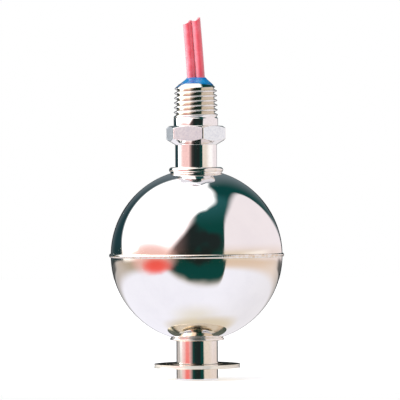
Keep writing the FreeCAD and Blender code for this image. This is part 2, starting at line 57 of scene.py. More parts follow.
# ---------------------------------------------------------------- leads
# Two single leads of stranded copper in red insulation, painted paler on its left side as if lit from
# there, potted into the thread's end and cut off with side cutters, which leaves slanting, hollow ends.


class Wire:
    """One socket of a node tree. Arithmetic on it adds Math nodes to the tree."""

    def __init__(self, tree, socket=None):
        self.tree, self.socket = tree, socket

    def add(self, kind, values=None, out=0, **settings):
        """A new node: its settings first, then the values or links of its sockets."""
        node = self.tree.nodes.new(kind)
        for name, value in settings.items():
            setattr(node, name, value)
        for key, value in (values or {}).items():
            if isinstance(value, Wire):
                self.tree.links.new(value.socket, node.inputs[key])
            else:
                node.inputs[key].default_value = value
        return Wire(self.tree, node.outputs[out])

    def out(self, name):
        """Another output of the same node."""
        return Wire(self.tree, self.socket.node.outputs[name])

    def parts(self):
        """The three numbers of a vector."""
        x = self.add("ShaderNodeSeparateXYZ", {0: self})
        return x, x.out("Y"), x.out("Z")

    def math(self, operation, *others):
        """A Math node that has this as its first value."""
        return self.add("ShaderNodeMath", dict(enumerate((self, *others))), operation=operation)

    def reflected(self, operation, other):
        """A Math node that has this as its second value."""
        return self.add("ShaderNodeMath", {0: other, 1: self}, operation=operation)

    def __add__(self, other):
        return self.math("ADD", other)

    def __sub__(self, other):
        return self.math("SUBTRACT", other)

    def __rsub__(self, other):
        return self.reflected("SUBTRACT", other)

    def __mul__(self, other):
        return self.math("MULTIPLY", other)

    def __truediv__(self, other):
        return self.math("DIVIDE", other)

    def __rtruediv__(self, other):
        return self.reflected("DIVIDE", other)

    def __pow__(self, other):
        return self.math("POWER", other)

    def __abs__(self):
        return self.math("ABSOLUTE")

    __radd__, __rmul__ = __add__, __mul__

    def step(self, low, high):
        """0 below low and 1 above high, smooth between them."""
        return self.add(
            "ShaderNodeMapRange",
            {"Value": self, "From Min": low, "From Max": high},
            interpolation_type="SMOOTHSTEP",
        )

    def mix(self, a, b):
        """Colour a where this is 0, colour b where it is 1."""
        a, b = (c if isinstance(c, Wire) else (*c, 1) for c in (a, b))
        return self.add("ShaderNodeMix", {0: self, 6: a, 7: b}, out=2, data_type="RGBA")


def srgb(r, g, b):
    """A colour given on the 0 to 255 scale of screens."""
    return tuple(
        c / 12.92 if c <= 0.04045 else ((c + 0.055) / 1.055) ** 2.4
        for c in (r / 255, g / 255, b / 255)
    )


def new_material(name, **constants):
    """A material with one Principled shader, and the Object coordinates its patterns start from."""
    material = bpy.data.materials.new(name)
    material.use_nodes = True
    shader = material.node_tree.nodes["Principled BSDF"]
    for key, value in constants.items():
        shader.inputs[key.replace("_", " ").title().replace("Ior", "IOR")].default_value = value
    return material, shader, Wire(material.node_tree).add("ShaderNodeTexCoord", out="Object")


def feed(node, name, wire):
    """Link a wire to a socket of a node."""
    wire.tree.links.new(wire.socket, node.inputs[name])


def bump(height, strength, depth):
    """The normal of a surface with this relief, which is depth millimetres deep."""
    return height.add(
        "ShaderNodeBump", {"Strength": strength, "Distance": depth * mm, "Height": height}
    )


def noise(place, scale, detail=3.0, roughness=0.5, stretch=(1, 1, 1)):
    """Cloudy noise, drawn out along an axis where stretch is below 1."""
    place = place.add("ShaderNodeMapping", {"Vector": place, "Scale": stretch})
    return place.add(
        "ShaderNodeTexNoise",
        {"Vector": place, "Scale": scale, "Detail": detail, "Roughness": roughness},
    )


def turns(count, start=0):
    """The angles of count points spread once round."""
    return [start + 2 * pi * k / count for k in range(count)]


def skin(bm, rows):
    """Faces between rows of points that each go once round. A row of one point is a pole."""
    made = [[bm.verts.new(point) for point in row] for row in rows]
    for low, high in zip(made, made[1:]):
        for i in range(max(len(low), len(high))):
            j = i + 1
            corners = (low[i % len(low)], low[j % len(low)], high[j % len(high)], high[i % len(high)])
            bm.faces.new(list(dict.fromkeys(corners)))
    return made


def finish_piece(name, bm, material, body, nodes, angle=32):
    """The finished piece: doubles merged, faces outwards, and its place in the frame told."""
    bmesh.ops.remove_doubles(bm, verts=bm.verts, dist=0.0005 * mm)
    bmesh.ops.recalc_face_normals(bm, faces=bm.faces)
    mesh = bpy.data.meshes.new(name)
    bm.to_mesh(mesh)
    bm.free()
    mesh.shade_smooth()
    mesh.set_sharp_from_angle(angle=radians(angle))
    mesh.materials.append(material)
    piece = bpy.data.objects.new(name, mesh)
    bpy.context.collection.objects.link(piece)
    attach(piece, body)
    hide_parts(*nodes)
    return piece


def centreline(name, route):
    """Points along a cord, and the mesh they are on: a smooth line controlled by the route."""
    curve = bpy.data.curves.new(name, "CURVE")
    curve.dimensions = "3D"
    spline = curve.splines.new("NURBS")
    spline.points.add(len(route) - 1)
    for point, place in zip(spline.points, route):
        point.co = (*(x * mm for x in place), 1)
    spline.order_u = 3
    spline.use_endpoint_u = True
    spline.resolution_u = 24
    holder = bpy.data.objects.new(name, curve)
    mesh = bpy.data.meshes.new_from_object(holder)
    line = [vertex.co.copy() for vertex in mesh.vertices]
    bpy.data.objects.remove(holder)
    return line, mesh


def new_tree(name, inputs):
    """The start of a Geometry Nodes tree, whose outputs are its geometry and its named inputs."""
    tree = bpy.data.node_groups.new(name, "GeometryNodeTree")
    face = tree.interface
    face.new_socket("Geometry", in_out="OUTPUT", socket_type="NodeSocketGeometry")
    face.new_socket("Geometry", in_out="INPUT", socket_type="NodeSocketGeometry")
    for kind, labels in inputs.items():
        for label in labels:
            face.new_socket(label, in_out="INPUT", socket_type="NodeSocket" + kind)
    return Wire(tree).add("NodeGroupInput", out="Geometry")


def end_tree(shape, material):
    """The end of a tree: instances made real, with their material on them."""
    shape = shape.add("GeometryNodeRealizeInstances", {0: shape})
    shape = shape.add("GeometryNodeSetMaterial", {"Geometry": shape, "Material": material})
    feed(shape.tree.nodes.new("NodeGroupOutput"), 0, shape)


def grow(name, start, inputs, source=None):
    """The mesh that a tree makes with these named inputs, ready for more work on it."""
    tree = start.tree
    maker = bpy.data.objects.new(name, source or bpy.data.meshes.new(name))
    bpy.context.collection.objects.link(maker)
    modifier = maker.modifiers.new(name, "NODES")
    modifier.node_group = tree
    for item in tree.interface.items_tree:
        if item.item_type == "SOCKET" and item.in_out == "INPUT" and item.name in inputs:
            modifier[item.identifier] = inputs[item.name]
    shown = maker.evaluated_get(bpy.context.evaluated_depsgraph_get())
    mesh = bpy.data.meshes.new_from_object(shown)
    maker.modifiers.remove(modifier)
    bpy.data.objects.remove(maker)
    bm = bmesh.new()
    bm.from_mesh(mesh)
    bpy.data.meshes.remove(mesh)
    return bm


insulation, shader, place = new_material(
    "red_insulation",
    coat_weight=0.8,
    coat_roughness=0.06,
    sheen_weight=1.0,
    sheen_roughness=0.45,
    sheen_tint=(1.0, 0.86, 0.88, 1.0),
)
drawn = noise(place, 2600, 2.0, stretch=(1, 1, 0.06))
dust = noise(place, 420, 4.0, 0.6)
level = place.parts()[2]
near_seal = 1 - level.step(14.0 * mm, 18.5 * mm)
colour = dust.step(0.42, 0.7).mix(srgb(246, 88, 104), srgb(252, 122, 138))
colour = (drawn.step(0.52, 0.72) * 0.35).mix(colour, srgb(214, 44, 70))
colour = (near_seal * 0.3).mix(colour, srgb(170, 18, 46))
# Painted light: where a lead's surface faces left, its colour turns pale pink, as if lit from the left,
# mottled by the dust pattern.
to_right = place.add("ShaderNodeNewGeometry", out="Normal").parts()[0]
painted_left_light = (to_right * -1).step(-0.1, 0.95) * (dust * 0.5 + 0.4)
feed(shader, "Base Color", painted_left_light.mix(colour, srgb(255, 186, 200)))
feed(shader, "Roughness", dust * 0.14 + 0.3)
feed(shader, "Normal", bump(drawn + dust * 0.6, 0.25, 0.06))

copper, shader, place = new_material("bare_copper", metallic=1.0)
tarnish = noise(place, 900, 4.0, 0.6)
feed(shader, "Base Color", tarnish.step(0.4, 0.7).mix(srgb(214, 128, 88), srgb(168, 92, 62)))
feed(shader, "Roughness", tarnish * 0.3 + 0.2)

# The strands of a lead: a middle one, six round it and twelve round those, twisted together.
strands_start = new_tree(
    "twisted_strands",
    {"Float": ["Strand Radius", "Lay Length", "Stop Short"], "Material": ["Material"]},
)
given = strands_start.out
strand_r = given("Strand Radius")
points = strands_start.add("GeometryNodeJoinGeometry")
for count in (1, 6, 12):
    spread = strand_r * (0.0 if count == 1 else count / 3)
    ring = points.add("GeometryNodeMeshCircle", {"Vertices": max(count, 3), "Radius": spread})
    feed(points.socket.node, 0, ring)
points = points.add("GeometryNodeMergeByDistance", {"Geometry": points, "Distance": 1e-5})
strand = points.add("GeometryNodeCurvePrimitiveCircle", {"Resolution": 10, "Radius": strand_r * 0.98})
profile = points.add("GeometryNodeInstanceOnPoints", {"Points": points, "Instance": strand})
profile = points.add("GeometryNodeRealizeInstances", {0: profile})
path = points.add("GeometryNodeMeshToCurve", {"Mesh": strands_start})
reach = points.add("GeometryNodeCurveLength", {0: path}) - given("Stop Short")
path = points.add("GeometryNodeTrimCurve", {"Curve": path, 4: 0.0, 5: reach}, mode="LENGTH")
along = points.add("GeometryNodeSplineParameter", out="Length")
twist = along / given("Lay Length") * (2 * pi)
path = points.add("GeometryNodeSetCurveTilt", {"Curve": path, "Tilt": twist})
swept = points.add(
    "GeometryNodeCurveToMesh", {"Curve": path, "Profile Curve": profile, "Fill Caps": True}
)
end_tree(swept, given("Material"))

LEAD_R = 1.325 * mm
STRANDS_R = 0.6 * mm
SLANT_REACH = 3.5 * mm
HOLLOW = 0.1 * mm
LIP = 0.05 * mm
STRANDS = {
    "Strand Radius": 0.118 * mm,
    "Lay Length": 11 * mm,
    "Stop Short": 0.85 * mm,
    "Material": copper,
}


def lead(side, route, cut):
    """One lead; cut gives its end's level in the middle, its tilt to the right and its dish."""
    line, wire_mesh = centreline(side + "_route", route)
    middle, tilt, dish = (x * mm for x in cut)
    travelled = [0]
    for a, b in zip(line, line[1:]):
        travelled.append(travelled[-1] + (b - a).length)
    rows, inner = [], []
    for i, point in enumerate(line):
        ahead = (line[min(i + 1, len(line) - 1)] - line[max(i - 1, 0)]).normalized()
        across = (Vector((1, 0, 0)) - ahead * ahead.x).normalized()
        front = ahead.cross(across)
        fade = max(0, 1 - (travelled[-1] - travelled[i]) / SLANT_REACH) ** 2
        ring, bore = [], []
        for turn in turns(36):
            slant = middle + tilt * cos(turn) + dish * cos(turn) ** 2 - HOLLOW * sin(turn) ** 2
            start = point + ahead * slant * fade
            out = across * cos(turn) + front * sin(turn)
            ring.append(start + out * LEAD_R)
            bore.append(start + out * STRANDS_R)
        rows.append(ring)
        inner.append(bore)
    # The cut's outer edge is broken by a narrow lip.
    last = rows[-1]
    rim = [p.lerp(q, 0.06) for p, q in zip(last, inner[-1])]
    rows[-1] = [p - (line[-1] - line[-2]).normalized() * LIP for p in last]
    bm = bmesh.new()
    skin(bm, rows + [rim] + inner[::-1] + [rows[0]])
    jacket = finish_piece(
        side + "_lead_jacket", bm, insulation, "stem", [side + "_lead_jacket"]
    )
    bundle = grow(side + "_lead_strands", strands_start, STRANDS, wire_mesh)
    bundle = finish_piece(
        side + "_lead_strands", bundle, copper, "stem", [side + "_lead_strands"]
    )


lead(
    "left",
    [(-0.95, 0.0, -1.0), (-0.95, 0.0, 9.5), (-1.60, 0.06, 21.3), (-2.36, 0.10, 30.7)],
    cut=(-0.2, 0.54, 0.19),
)
lead(
    "right",
    [(1.75, 0.0, -1.0), (1.72, 0.0, 9.5), (0.98, -0.06, 21.7), (0.17, -0.10, 31.6)],
    cut=(-0.4, 0.42, 0.4),
)

# ---------------------------------------------------------------- potting
# Blue two-part epoxy, poured into the bore's mouth. It has crept up the leads and over the rim,
# furthest on the left, and set with a glossy skin.
THREAD_TOP = 12.4
RIM_R = 4.87
BORE_R = 4.2
SEAL_LOW = 4.4
SEAL_TOP = 14.2
SEAL_TUCK = 0.08
LEADS_AT = 0.27
LEADS_WIDE = 2.72
LEADS_DEEP = 1.5
SWELL = 0.16
UNEVEN = 0.03
CREEP = 0.12
CREEP_FROM = 0.85

epoxy, shader, place = new_material(
    "blue_epoxy", coat_weight=0.3, coat_roughness=0.08, specular_ior_level=0.3
)
cloud = noise(place, 520, 3.0, 0.55)
level = place.parts()[2]
# The skin's colour turns a darker navy towards its foot on the chamfer.
toward_foot = 1 - level.step(11.8 * mm, 13.1 * mm)
colour = cloud.step(0.35, 0.7).mix(srgb(0, 116, 194), srgb(20, 156, 220))
feed(shader, "Base Color", (toward_foot * 0.5).mix(colour, srgb(8, 40, 96)))
feed(shader, "Roughness", cloud * 0.12 + 0.1)
feed(shader, "Normal", bump(cloud, 0.35, 0.2))


def on_circle(radius, level, t):
    """The point at this angle round the axis."""
    return radius * cos(t) * mm, radius * sin(t) * mm, level * mm


# How high the epoxy's edge lies on the chamfer; 0 degrees is the front and -90 the left.
edge_levels = [
    (-180, 12.2), (-120, 11.9), (-90, 11.0), (-70, 11.45), (-53, 11.95), (-36, 12.4), (0, 12.42),
    (35, 12.15), (70, 11.9), (105, 12.0), (140, 12.35), (180, 12.2),
]


def edge_level(azimuth):
    """The epoxy's edge between those points, drawn smoothly."""
    for (a, low), (b, high) in zip(edge_levels, edge_levels[1:]):
        if azimuth <= b:
            t = (azimuth - a) / (b - a)
            return low + (high - low) * t * t * (3 - 2 * t)


# At each angle the skin starts where its edge lies on the chamfer, which slopes at 45 degrees, and
# rises from there to an oval round the two leads, where it creeps up them.
angles = turns(120)
feet = []
for t in angles:
    low = edge_level((degrees(t) + 90 + 180) % 360 - 180)
    feet.append((RIM_R + THREAD_TOP - low, low))
rows = [
    [(0, 0, SEAL_LOW * mm)],
    [on_circle(BORE_R, SEAL_LOW, t) for t in angles],
    [on_circle(BORE_R, THREAD_TOP - 0.05, t) for t in angles],
    [on_circle(r - SEAL_TUCK, low - SEAL_TUCK, t) for t, (r, low) in zip(angles, feet)],
]
STEPS = 18
for k in range(STEPS + 1):
    s = k / STEPS
    row = []
    for t, (r, low) in zip(angles, feet):
        start = Vector((r * cos(t), r * sin(t)))
        end = Vector((LEADS_AT + LEADS_WIDE * cos(t), LEADS_DEEP * sin(t)))
        flat = start.lerp(end, s)
        swell = SWELL * (1 - exp(-s / 0.06)) * (1 - s) + UNEVEN * sin(3 * t + 1) * s * (1 - s)
        creep = CREEP * max(0, s - CREEP_FROM) / (1 - CREEP_FROM)
        level = low + (SEAL_TOP - low) * s + swell + creep
        row.append((flat.x * mm, flat.y * mm, level * mm))
    rows.append(row)
rows.append([(LEADS_AT * mm, 0, (SEAL_TOP - 0.1) * mm)])
bm = bmesh.new()
skin(bm, rows)
finish_piece("potting_seal", bm, epoxy, "stem", ["potting_seal"], angle=50)

# ---------------------------------------------------------------- stem
# One stainless bar: a 1/4-18 taper pipe thread, a plain shank, a hexagon with its drawn flats left
# satin, and a polished stem with a groove near its end. It is drilled from the top.
PITCH = 25.4 / 18
TAPER = 32.0
THREAD_R = 6.55
THREAD_DEPTH = 0.9
RUN_OUT = 1.6
SHANK = 2.1
SEAM_R = 7.3
CHAMFER_R = 7.8
CHAMFER_DROP = 0.75
HEX_FLAT = 7.9375
HEX_CORNER = HEX_FLAT / cos(pi / 6)
HEX_EDGE = 0.5
HEX_TURN = radians(13.5)
HEX_LOW = -3.8
STEM_R = 6.15
STEM_END = -75.0
GROOVE_R = 4.8
GROOVE_TOP = -70.2
GROOVE_LOW = -71.4
DRILLED_TO = -67.0
DRILL_POINT = -69.4

steel, shader, place = new_material("stainless_steel")
x, y, level = place.parts()
radius = (x * x + y * y) ** 0.5
crest = THREAD_R * mm - (level - SHANK * mm) / TAPER
roots = (crest - radius).step(0.2 * mm, 0.8 * mm) * level.step(2.2 * mm, 3.0 * mm)
to_right, back, up = place.add("ShaderNodeNewGeometry", out="Normal").parts()
sixth = (back.math("ARCTAN2", to_right) - HEX_TURN) / radians(60)
off_flat = abs(sixth - sixth.math("ROUND"))
flats = radius.step((CHAMFER_R - 0.08) * mm, (CHAMFER_R + 0.06) * mm)
flats = flats * (1 - abs(up).step(0.06, 0.3)) * (1 - off_flat.step(0.03, 0.12))
grain = noise(place, 3000, 3.0, 0.6, stretch=(1, 1, 0.12))
mottle = noise(place, 1500, 4.0, 0.65)
turning = noise(place, 9000, 2.0, stretch=(0.01, 0.01, 1))
polished = mottle.step(0.4, 0.65).mix(srgb(244, 242, 240), srgb(238, 236, 234))
polished = (roots * 0.85).mix(polished, srgb(222, 214, 196))
satin = mottle.step(0.36, 0.66).mix(srgb(246, 251, 255), srgb(230, 236, 244))
feed(shader, "Base Color", flats.mix(polished, satin))
feed(shader, "Roughness", flats * (mottle * 0.1 + 0.24) + (mottle * 0.04 + 0.045))
feed(shader, "Metallic", 1 - flats * 0.2)
lines = flats * (grain + mottle) * 0.5 + (1 - flats) * turning * 0.12
feed(shader, "Normal", bump(lines, 0.22, 0.04))


def blank_grid(start, columns, rows):
    """A flat grid of points, and each point's place on it, from -0.5 to 0.5 both ways."""
    blank = start.add(
        "GeometryNodeMeshGrid",
        {"Size X": 1.0, "Size Y": 1.0, "Vertices X": columns, "Vertices Y": rows},
    )
    return blank, *start.add("GeometryNodeInputPosition").parts()[:2]


def wrap(blank, radius, angle, level):
    """The grid laid round the axis, and closed where its edges meet."""
    x, y = radius * angle.math("COSINE"), radius * angle.math("SINE")
    place = blank.add("ShaderNodeCombineXYZ", {0: x, 1: y, 2: level})
    shape = blank.add("GeometryNodeSetPosition", {"Geometry": blank, "Position": place})
    return blank.add("GeometryNodeMergeByDistance", {"Geometry": shape, "Distance": 5e-7})


# The thread is cut in a round blank: rows of points follow the helix, so crests and roots are
# lines of the mesh, and the cut runs out towards the shank and is chamfered at the top.
thread_start = new_tree(
    "taper_thread",
    {
        "Int": ["Columns", "Rows"],
        "Float": [
            "Rows per Pitch", "First Column", "Pitch", "Start Level", "Low Level", "High Level",
            "Crest Radius", "Depth", "Run Out", "Rim Radius",
        ],
        "Material": ["Material"],
    },
)
given = thread_start.out
blank, x, y = blank_grid(thread_start, given("Columns"), given("Rows"))
turn = x + 0.5
pitches = (y + 0.5) * (given("Rows") - 1.0) / given("Rows per Pitch")
level = given("Start Level") + given("Pitch") * (pitches + turn)
level = level.math("MAXIMUM", given("Low Level")).math("MINIMUM", given("High Level"))
depth = 1 - abs(pitches.math("FRACT") * 2.0 - 1.0).step(0.02, 0.98)
above = level - given("Low Level")
fade = (above / given("Run Out")).math("MAXIMUM", 0.0).math("MINIMUM", 1.0)
radius = given("Crest Radius") - above / TAPER - given("Depth") * depth * fade
radius = radius.math("MINIMUM", given("Rim Radius") + given("High Level") - level)
end_tree(wrap(blank, radius, turn * (2 * pi) + given("First Column"), level), given("Material"))

COLUMNS = 144
FINE = 28
ROOT_AT_RIGHT = 1.19
crest_level = ROOT_AT_RIGHT + PITCH * (0.5 + HEX_TURN / (2 * pi))
start_level = crest_level - PITCH * ceil((crest_level - SHANK) / PITCH + 1)
bm = grow(
    "thread",
    thread_start,
    {
        "Columns": COLUMNS + 1,
        "Rows": ceil((THREAD_TOP - start_level) / PITCH * FINE) + 1,
        "Rows per Pitch": float(FINE),
        "First Column": HEX_TURN,
        "Pitch": PITCH * mm,
        "Start Level": start_level * mm,
        "Low Level": SHANK * mm,
        "High Level": THREAD_TOP * mm,
        "Crest Radius": THREAD_R * mm,
        "Depth": THREAD_DEPTH * mm,
        "Run Out": RUN_OUT * mm,
        "Rim Radius": RIM_R * mm,
        "Material": steel,
    },
)


def section(corners, steps):
    """A turned section from corners (radius, level, rounding), with a row beside each rounding."""
    line = [Vector(corners[0][:2])]
    for before, (r, z, rounding), after in zip(corners, corners[1:], corners[2:]):
        corner = Vector((r, z))
        if not rounding:
            line.append(corner)
            continue
        back = (Vector(before[:2]) - corner).normalized()
        on = (Vector(after[:2]) - corner).normalized()
        half = acos(max(-1, min(1, back.dot(on)))) / 2
        reach = rounding / tan(half)
        centre = corner + (back + on).normalized() * rounding / sin(half)
        first, last = corner + back * reach, corner + on * reach
        line.append(first + back * reach * 0.25)
        for k in range(steps + 1):
            arm = (first - centre).slerp(last - centre, k / steps)
            line.append(centre + arm * rounding)
        line.append(last + on * reach * 0.25)
    line.append(Vector(corners[-1][:2]))
    return line


def turned(bm, angles, corners_at, steps=4):
    """A turned shape, where corners_at gives the section at an angle. It returns its rows."""
    lines = [section(corners_at(t), steps) for t in angles]
    rows = []
    for places in zip(*lines):
        if max(place.x for place in places) < 1e-6:
            rows.append([(0, 0, places[0].y * mm)])
        else:
            rows.append([on_circle(place.x, place.y, t) for t, place in zip(angles, places)])
    return skin(bm, rows)


def hexagon(angle):
    """The hexagon's radius at an angle, with its long edges slightly rounded."""
    away = (angle - HEX_TURN + pi / 6) % (pi / 3) - pi / 6
    from_edge = pi / 6 - abs(away)
    middle = (HEX_FLAT - HEX_EDGE) / cos(pi / 6)
    if from_edge < pi / 6 - atan((HEX_FLAT - HEX_EDGE) * tan(pi / 6) / HEX_FLAT):
        return middle * cos(from_edge) + sqrt(HEX_EDGE**2 - (middle * sin(from_edge)) ** 2)
    return HEX_FLAT / cos(away)


def hex_section(angle):
    """The section from the hexagon's upper face to the middle of the stem's end."""
    r = hexagon(angle)
    return [
        (SEAM_R, 0, 0),
        (CHAMFER_R, 0, 0.07),
        (r, -CHAMFER_DROP * (r - CHAMFER_R) / (HEX_CORNER - CHAMFER_R), 0.12),
        (r, HEX_LOW - (HEX_CORNER - r) * tan(pi / 6), 0.16),
        (STEM_R, HEX_LOW - (HEX_CORNER - STEM_R) * tan(pi / 6), 0.25),
        (STEM_R, GROOVE_TOP, 0.06),
        (GROOVE_R, GROOVE_TOP, 0),
        (GROOVE_R, GROOVE_LOW, 0),
        (STEM_R, GROOVE_LOW, 0.06),
        (STEM_R, STEM_END, 0.5),
        (2.0, STEM_END, 0),
        (0, STEM_END, 0),
    ]


# Columns stand close together at the hexagon's rounded edges and wide apart on its flats.
one_side = [0.25 * k for k in range(5)] + [1.6] + [3.5 + 2.5 * k for k in range(11)]
both_sides = [-away for away in one_side[:0:-1]] + one_side
hex_angles = [HEX_TURN + radians(30 + 60 * k) + radians(away) for k in range(6) for away in both_sides]
round_angles = turns(COLUMNS, HEX_TURN)

shank = [(THREAD_R, SHANK, 0), (THREAD_R, 0, 0), (SEAM_R, 0, 0)]
bore = [(RIM_R, THREAD_TOP, 0), (BORE_R, THREAD_TOP, 0), (BORE_R, DRILLED_TO, 0), (0, DRILL_POINT, 0)]
shoulder = turned(bm, round_angles, lambda t: shank)
head = turned(bm, hex_angles, hex_section)
turned(bm, round_angles, lambda t: bore)
seam = [bm.edges.get((row[i], row[i - 1])) for row in (shoulder[-1], head[0]) for i in range(len(row))]
bmesh.ops.bridge_loops(bm, edges=seam)
finish_piece("stem_body", bm, steel, "stem", ["stem_body"])

# ---------------------------------------------------------------- retaining ring
# An E-shaped ring stamped from stainless spring strip, so its edge is duller than its faces, and
# pushed into the groove from the front. Three prongs grip the groove; the die rounded its edges.
RING_R = 12.65
RING_TOP = -70.3
RELIEF_R = 7.7
MOUTH = 4.5
CORNER_ROUND = 0.32
RIM_ROUND = 0.13
BOW_FROM = 5.5
BOW_RATE = 2.0

strip, shader, place = new_material("spring_strip")
rolled = noise(place, 2600, 3.0, 0.6, stretch=(0.08, 1, 1))
cloud = noise(place, 300, 3.0, 0.5)
up = place.add("ShaderNodeNewGeometry", out="Normal").parts()[2]
cut_edge = 1 - abs(up).step(0.3, 0.8)
face_colour = cloud.step(0.35, 0.7).mix(srgb(238, 224, 196), srgb(230, 214, 184))
feed(shader, "Base Color", cut_edge.mix(face_colour, srgb(244, 238, 228)))
feed(shader, "Metallic", 1 - cut_edge * 0.75)
feed(shader, "Roughness", cloud * 0.1 + 0.1)
feed(shader, "Normal", bump(rolled, 0.16, 0.03))


def arc(r, first, last, step=3.0):
    """Points on a circle from one angle to another, in degrees."""
    count = max(1, round(abs(last - first) / step))
    angles = [radians(first + (last - first) * k / count) for k in range(count + 1)]
    return [(r * cos(t), r * sin(t)) for t in angles]


mouth_out = degrees(acos(MOUTH / RING_R))
mouth_in = degrees(acos(MOUTH / GROOVE_R))
outline = (
    arc(RING_R, mouth_out, mouth_out - 360 + 2 * (90 - mouth_out), 2.0)
    + arc(GROOVE_R, 180 - mouth_in, 185)
    + arc(RELIEF_R, 185, 250, 4.0)
    + arc(GROOVE_R, 250, 290)
    + arc(RELIEF_R, 290, 355, 4.0)
    + arc(GROOVE_R, 355, 360 + mouth_in)
)
bm = bmesh.new()
top = [bm.verts.new((x * mm, y * mm, RING_TOP * mm)) for x, y in outline]
low = [bm.verts.new((x * mm, y * mm, GROOVE_LOW * mm)) for x, y in outline]
bm.faces.new(top)
bm.faces.new(low[::-1])
for i in range(len(outline)):
    bm.faces.new((top[i - 1], top[i], low[i], low[i - 1]))


def round_off(bm, edges, radius):
    """Edges rounded to this radius in millimetres."""
    bmesh.ops.bevel(
        bm, geom=edges, offset=radius * mm, segments=3, profile=0.5, affect="EDGES", clamp_overlap=True
    )


corners = [
    edge for edge in bm.edges
    if abs(edge.verts[0].co.z - edge.verts[1].co.z) > 0.5 * mm
    and edge.calc_face_angle() > radians(35)
]
round_off(bm, corners, CORNER_ROUND)
rims = [edge for edge in bm.edges if len(edge.link_faces) == 2 and edge.calc_face_angle() > 1.2]
round_off(bm, rims, RIM_ROUND)
# Pushed home, it stays bowed by a tenth of a millimetre at its open side.
for vertex in bm.verts:
    vertex.co.z += BOW_RATE * max(0, vertex.co.y - BOW_FROM * mm) ** 2
finish_piece("retaining_ring", bm, strip, "stem", ["retaining_ring"], angle=40)

# ---------------------------------------------------------------- float shells
# Two half shells, deep drawn from half-millimetre stainless sheet and polished to a mirror before
# they are welded together at the equator, which leaves a trace of straw heat tint there.
FLOAT_R = 25.4
SHELL = 0.5
FLOAT_AT = -38.2
HOLE_R = 7.4

mirror, shader, place = new_material("polished_shell", metallic=1.0)
level = place.parts()[2]
equator = 1 - abs(level - FLOAT_AT * mm).step(0.8 * mm, 4.2 * mm)
smudge = noise(place, 90, 4.0, 0.6)
hairs = noise(place, 2600, 2.0, stretch=(0.04, 0.04, 1))
colour = smudge.step(0.4, 0.75).mix(srgb(245, 244, 243), srgb(240, 239, 239))
feed(shader, "Base Color", (equator * 0.45).mix(colour, srgb(226, 206, 178)))
feed(shader, "Roughness", smudge * 0.035 + equator * 0.05 + 0.03)
feed(shader, "Normal", bump(hairs * 0.25 + smudge, 0.1, 0.03))


def meridian(radius, steps, stride=1):
    """Points (radius, height) on a sphere, from its equator to the hole at its pole."""
    top = acos(HOLE_R / radius)
    angles = [top * k / steps for k in range(0, steps + 1, stride)]
    return [(radius * cos(a), radius * sin(a)) for a in angles]


def half_shell(name, up):
    """A half shell as a closed wall; up is 1 for the upper one and -1 for the lower one."""
    line = meridian(FLOAT_R, 72) + meridian(FLOAT_R - SHELL, 72, 3)[::-1]
    rows = [[on_circle(r, FLOAT_AT + up * z, t) for t in turns(216)] for r, z in line + line[:1]]
    bm = bmesh.new()
    skin(bm, rows)
    finish_piece(name, bm, mirror, "float", [name])


half_shell("float_upper_shell", 1)
half_shell("float_lower_shell", -1)

# ---------------------------------------------------------------- seam bead
# The fusion weld that joins the shells: a low rounded bead with close ripples, brushed bright
# afterwards, and straw-coloured here and there.


def weather(shader, pattern, fresh, worn, rough, relief, span=(0.4, 0.7)):
    """A finish from one pattern: its colours, its roughness (share, least) and its relief."""
    feed(shader, "Base Color", pattern.step(*span).mix(srgb(*fresh), srgb(*worn)))
    feed(shader, "Roughness", pattern * rough[0] + rough[1])
    feed(shader, "Normal", bump(pattern, *relief))


bead_metal, shader, place = new_material("weld_bead", metallic=1.0)
tint = noise(place, 700, 3.0, 0.6)
weather(shader, tint, (236, 233, 228), (222, 206, 184), rough=(0.14, 0.1), relief=(0.2, 0.04))

# The bead is a closed ring of oval section. Its outer side ripples, and wanders in width.
bead_start = new_tree(
    "rippled_bead",
    {
        "Float": [
            "Ring Radius", "Level", "Half Width", "Height", "Ripples", "Ripple Depth", "Seed",
        ],
        "Material": ["Material"],
    },
)
given = bead_start.out
blank, x, y = blank_grid(bead_start, 1081, 15)
angle = x * (2 * pi)
round_it = (y + 0.5) * (2 * pi)
across, proud = round_it.math("COSINE"), round_it.math("SINE")
outside = proud.math("MAXIMUM", 0.0)
once_round = blank.add(
    "ShaderNodeCombineXYZ", {0: angle.math("COSINE"), 1: angle.math("SINE"), 2: given("Seed")}
)
wander = blank.add("ShaderNodeTexNoise", {"Vector": once_round, "Scale": 3.0, "Detail": 3.0})
lag = angle * given("Ripples") + across * across * 1.2 + wander * 3.0
ripple = lag.math("SINE") * given("Ripple Depth")
swell = ripple + given("Height") * (0.5 + (wander - 0.5) * 0.35)
radius = given("Ring Radius") + proud * given("Height") * 0.5 + outside * swell
level = given("Level") + across * given("Half Width")
level = level + outside * (wander - 0.5) * given("Half Width") * 0.6
end_tree(wrap(blank, radius, angle, level), given("Material"))

bm = grow(
    "seam",
    bead_start,
    {
        "Ring Radius": FLOAT_R * mm,
        "Level": FLOAT_AT * mm,
        "Half Width": 0.6 * mm,
        "Height": 0.45 * mm,
        "Ripples": 220.0,
        "Ripple Depth": 0.012 * mm,
        "Seed": 4.0,
        "Material": bead_metal,
    },
)
finish_piece("float_seam_bead", bm, bead_metal, "float", ["float_seam_bead"], angle=60)

# ---------------------------------------------------------------- collars
# Turned stainless collars, let into the shells' pole holes and welded from inside. Each rim
# follows the shell and takes the end of the guide tube in a counterbore.
COLLAR_R = 8.0
NECK_R = 7.6
SPIGOT_R = 7.4
SPIGOT_END = 23.2
GUIDE_R = 7.0
GUIDE_BORE_R = 6.6
GUIDE_STOP = 0.7
MOUTH_CHAMFER = 0.3
UPPER_FACE = 26.0
LOWER_FACE = 25.2

